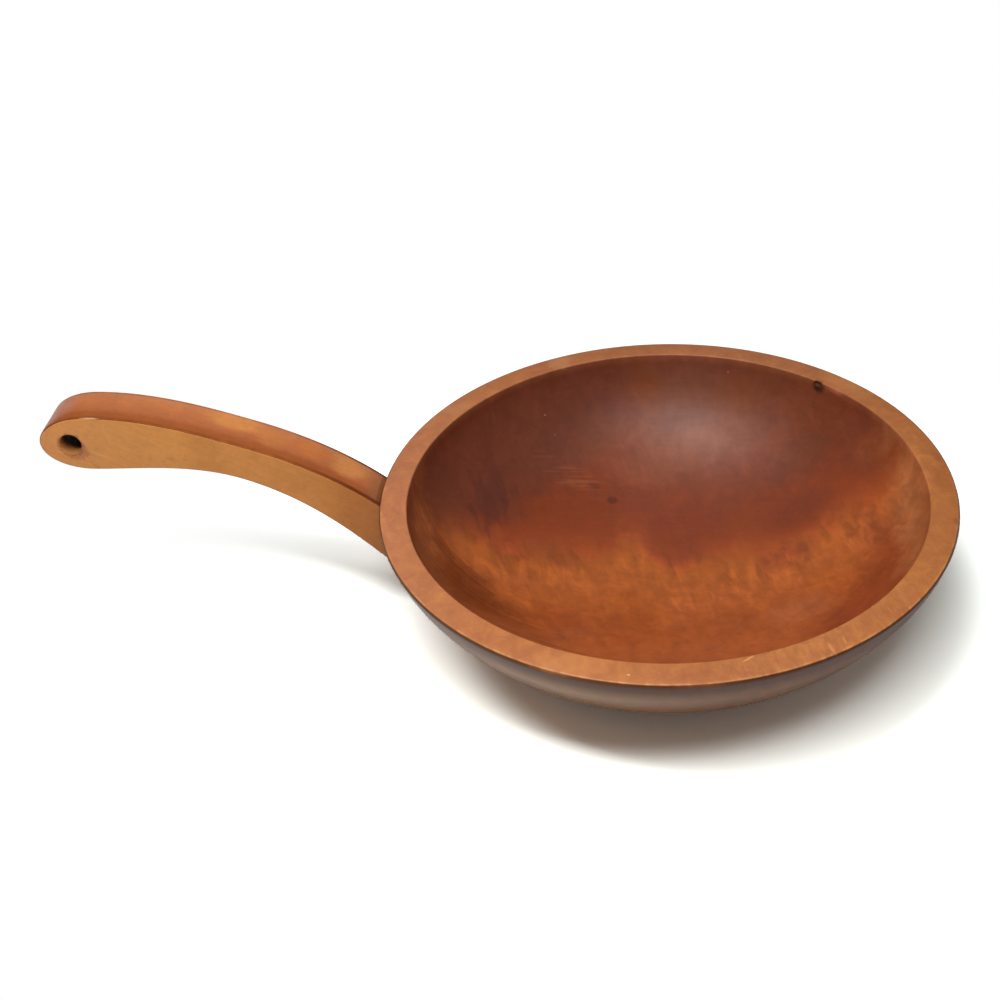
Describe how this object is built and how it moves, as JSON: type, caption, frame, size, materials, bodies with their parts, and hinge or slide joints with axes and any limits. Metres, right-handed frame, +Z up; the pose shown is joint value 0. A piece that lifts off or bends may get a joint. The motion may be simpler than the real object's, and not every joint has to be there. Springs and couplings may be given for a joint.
{
  "type": "wooden serving bowl with handle",
  "caption": "Round turned wooden serving bowl with a flat rim and one curved, flat-sided handle with a hanging hole.",
  "frame": {"origin": "centre of the bowl's flat base, on the surface that it stands on", "axes": "+Z up through the bowl's turning axis; the handle points along -X and lies in the XZ plane"},
  "size_m": [0.3866, 0.2422, 0.105],
  "materials": {
    "bowl_wood": "stained and varnished maple, satin gloss",
    "handle_wood": "lightly stained maple, satin",
    "screw_steel": "plain steel"
  },
  "bodies": {
    "root": {"bowl": "bowl_wood", "handle": "handle_wood", "upper_handle_screw": "screw_steel", "lower_handle_screw": "screw_steel"}
  },
  "joints": []
}
